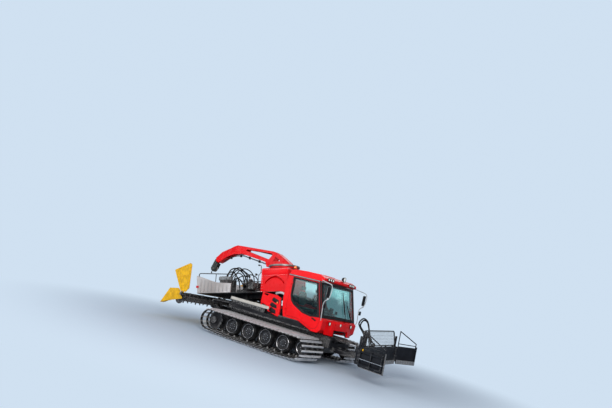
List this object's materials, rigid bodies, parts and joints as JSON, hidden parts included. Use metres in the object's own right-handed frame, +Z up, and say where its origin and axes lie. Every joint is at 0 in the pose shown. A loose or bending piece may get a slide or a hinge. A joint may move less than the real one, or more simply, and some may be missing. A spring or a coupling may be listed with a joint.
{
  "type": "tracked snow groomer",
  "caption": "Tracked snow groomer with front blade, cab, tilting bed with a winch boom, and a rear tiller with comb.",
  "frame": {"origin": "on the ground under the middle of the whole machine", "axes": "+X forward, +Y to the machine's left, +Z up"},
  "size_m": [9.4227, 4.4249, 3.3861],
  "materials": {
    "red_paint": "gloss",
    "black_frame": "satin",
    "dark_parts": "satin",
    "rubber_belt": "matte",
    "tyre_rubber": "matte",
    "aluminium": "brushed",
    "steel": "satin",
    "yellow_finish": "matte",
    "tinted_glass": "clear",
    "lamp_glass": "clear",
    "dark_plastic": "matte",
    "seat_fabric": "matte"
  },
  "bodies": {
    "chassis": {"chassis_frame": "black_frame", "road_wheels": "tyre_rubber", "sprockets": "dark_parts", "track_right": "rubber_belt", "track_left": "rubber_belt", "side_boxes": "black_frame", "deck": "black_frame", "deck_edges": "aluminium", "engine_block": "dark_parts", "side_grilles": "red_paint", "cab_shell": "red_paint", "cab_roof": "red_paint", "windscreen": "tinted_glass", "nose_panel": "red_paint", "lamps": "lamp_glass", "mirrors": "dark_plastic", "cab_interior": "seat_fabric"},
    "door_right": {"door_right": "red_paint", "door_right_glass": "tinted_glass"},
    "door_left": {"door_left": "red_paint", "door_left_glass": "tinted_glass"},
    "blade_lift_frame": {"lift_frame": "black_frame", "pitch_cylinder": "dark_parts", "blade_head": "dark_parts"},
    "blade_lift_barrel": {"lift_barrels": "dark_parts"},
    "blade_lift_rod": {"lift_rods": "steel"},
    "blade": {"blade_center": "black_frame", "blade_guard": "black_frame"},
    "blade_wing_right": {"wing_right": "black_frame"},
    "blade_wing_left": {"wing_left": "black_frame"},
    "tiller": {"tiller_frame": "black_frame", "tiller_housing": "black_frame"},
    "tiller_lift_barrel": {"tiller_barrels": "dark_parts"},
    "tiller_lift_rod": {"tiller_rods": "steel"},
    "rotor_right": {"rotor_right": "steel"},
    "rotor_left": {"rotor_left": "steel"},
    "comb_right": {"comb_right": "yellow_finish"},
    "comb_left": {"comb_left": "yellow_finish"},
    "side_finisher_right": {"side_finisher_right": "yellow_finish"},
    "side_finisher_left": {"side_finisher_left": "yellow_finish"},
    "bed": {"bed_frame": "black_frame", "bed_sides": "aluminium", "bed_rail": "black_frame", "winch_tower": "red_paint", "lamp_pole": "black_frame", "hydraulic_gear": "dark_parts"},
    "bed_lift_barrel": {"bed_barrel": "dark_parts"},
    "bed_lift_rod": {"bed_rod": "steel"},
    "boom": {"slew_ring": "steel", "boom": "red_paint", "boom_head": "dark_parts"}
  },
  "joints": [
    {"name": "door_right_hinge", "type": "hinge", "parent": "chassis", "child": "door_right", "pos_m": [0.57083, -1.18, 1.8], "axis": [0, 0, -1], "range_deg": [0, 75]},
    {"name": "door_left_hinge", "type": "hinge", "parent": "chassis", "child": "door_left", "pos_m": [0.57083, 1.18, 1.8], "axis": [0, 0, 1], "range_deg": [0, 75]},
    {"name": "blade_lift", "type": "hinge", "parent": "chassis", "child": "blade_lift_frame", "pos_m": [2.39083, 0, 0.56], "axis": [0, -1, 0], "range_deg": [-15, 12]},
    {"name": "blade_lift_barrel_swing", "type": "hinge", "parent": "chassis", "child": "blade_lift_barrel", "pos_m": [2.34883, 0, 0.905], "axis": [0, 1, 0], "range_deg": [-11.38, 14.15]},
    {"name": "blade_lift_rod_slide", "type": "slide", "parent": "blade_lift_barrel", "child": "blade_lift_rod", "axis": [0.9995, 0, -0.0312], "range_m": [-0.0732, 0.091]},
    {"name": "blade_yaw", "type": "hinge", "parent": "blade_lift_frame", "child": "blade", "pos_m": [3.67083, 0, 0.72], "axis": [0, -0.061, 0.9981], "range_deg": [-20, 20]},
    {"name": "wing_right_fold", "type": "hinge", "parent": "blade", "child": "blade_wing_right", "pos_m": [3.78083, -1.35237, 0.71744], "axis": [0, -0.061, 0.9981], "range_deg": [-94, 4]},
    {"name": "wing_left_fold", "type": "hinge", "parent": "blade", "child": "blade_wing_left", "pos_m": [3.78083, 1.3426, 0.88227], "axis": [0, 0.061, -0.9981], "range_deg": [-35, 63]},
    {"name": "tiller_lift", "type": "hinge", "parent": "chassis", "child": "tiller", "pos_m": [-2.23917, 0, 0.56], "axis": [0, 1, 0], "range_deg": [-12, 0]},
    {"name": "tiller_lift_barrel_swing", "type": "hinge", "parent": "chassis", "child": "tiller_lift_barrel", "pos_m": [-2.21717, 0, 0.9], "axis": [0, 1, 0], "range_deg": [-11.65, 0.3]},
    {"name": "tiller_lift_rod_slide", "type": "slide", "parent": "tiller_lift_barrel", "child": "tiller_lift_rod", "axis": [-1, 0, 0], "range_m": [-0.002, 0.0726]},
    {"name": "rotor_right_spin", "type": "hinge", "parent": "tiller", "child": "rotor_right", "pos_m": [-3.61917, -1.04, 0.85], "axis": [0, 1, 0], "continuous": true},
    {"name": "comb_right_hinge", "type": "hinge", "parent": "tiller", "child": "comb_right", "pos_m": [-3.8382, -1.04, 0.92117], "axis": [0, 1, 0], "range_deg": [0, 20]},
    {"name": "rotor_left_spin", "type": "hinge", "parent": "tiller", "child": "rotor_left", "pos_m": [-3.61917, 1.04, 0.85], "axis": [0, 1, 0], "continuous": true},
    {"name": "comb_left_hinge", "type": "hinge", "parent": "tiller", "child": "comb_left", "pos_m": [-3.8382, 1.04, 0.92117], "axis": [0, 1, 0], "range_deg": [0, 20]},
    {"name": "side_finisher_right_fold", "type": "hinge", "parent": "tiller", "child": "side_finisher_right", "pos_m": [-3.46917, -2.125, 1.105], "axis": [1, 0, 0], "range_deg": [0, 90]},
    {"name": "side_finisher_left_fold", "type": "hinge", "parent": "tiller", "child": "side_finisher_left", "pos_m": [-3.46917, 2.125, 1.105], "axis": [-1, 0, 0], "range_deg": [0, 122]},
    {"name": "bed_tilt", "type": "hinge", "parent": "chassis", "child": "bed", "pos_m": [-1.76917, 0, 1.3], "axis": [0, -1, 0], "range_deg": [-8, 0]},
    {"name": "bed_lift_barrel_swing", "type": "hinge", "parent": "chassis", "child": "bed_lift_barrel", "pos_m": [-1.09917, 0, 1.08], "axis": [0, 1, 0], "range_deg": [-0.3, 11.55]},
    {"name": "bed_lift_rod_slide", "type": "slide", "parent": "bed_lift_barrel", "child": "bed_lift_rod", "axis": [0.6414, 0, 0.7672], "range_m": [-0.0905, 0.002]},
    {"name": "boom_slew", "type": "hinge", "parent": "bed", "child": "boom", "pos_m": [-0.73347, 0, 2.90409], "axis": [-0.225, 0, 0.9744], "continuous": true}
  ],
  "couplings": [
    {"joint": "blade_lift_barrel_swing", "follows": "blade_lift", "ratio": -0.92323},
    {"joint": "blade_lift_rod_slide", "follows": "blade_lift", "m_per_rad": -0.33993},
    {"joint": "tiller_lift_barrel_swing", "follows": "tiller_lift", "ratio": 0.94614},
    {"joint": "tiller_lift_rod_slide", "follows": "tiller_lift", "m_per_rad": -0.33696},
    {"joint": "bed_lift_barrel_swing", "follows": "bed_tilt", "ratio": -1.406},
    {"joint": "bed_lift_rod_slide", "follows": "bed_tilt", "m_per_rad": 0.63351}
  ]
}
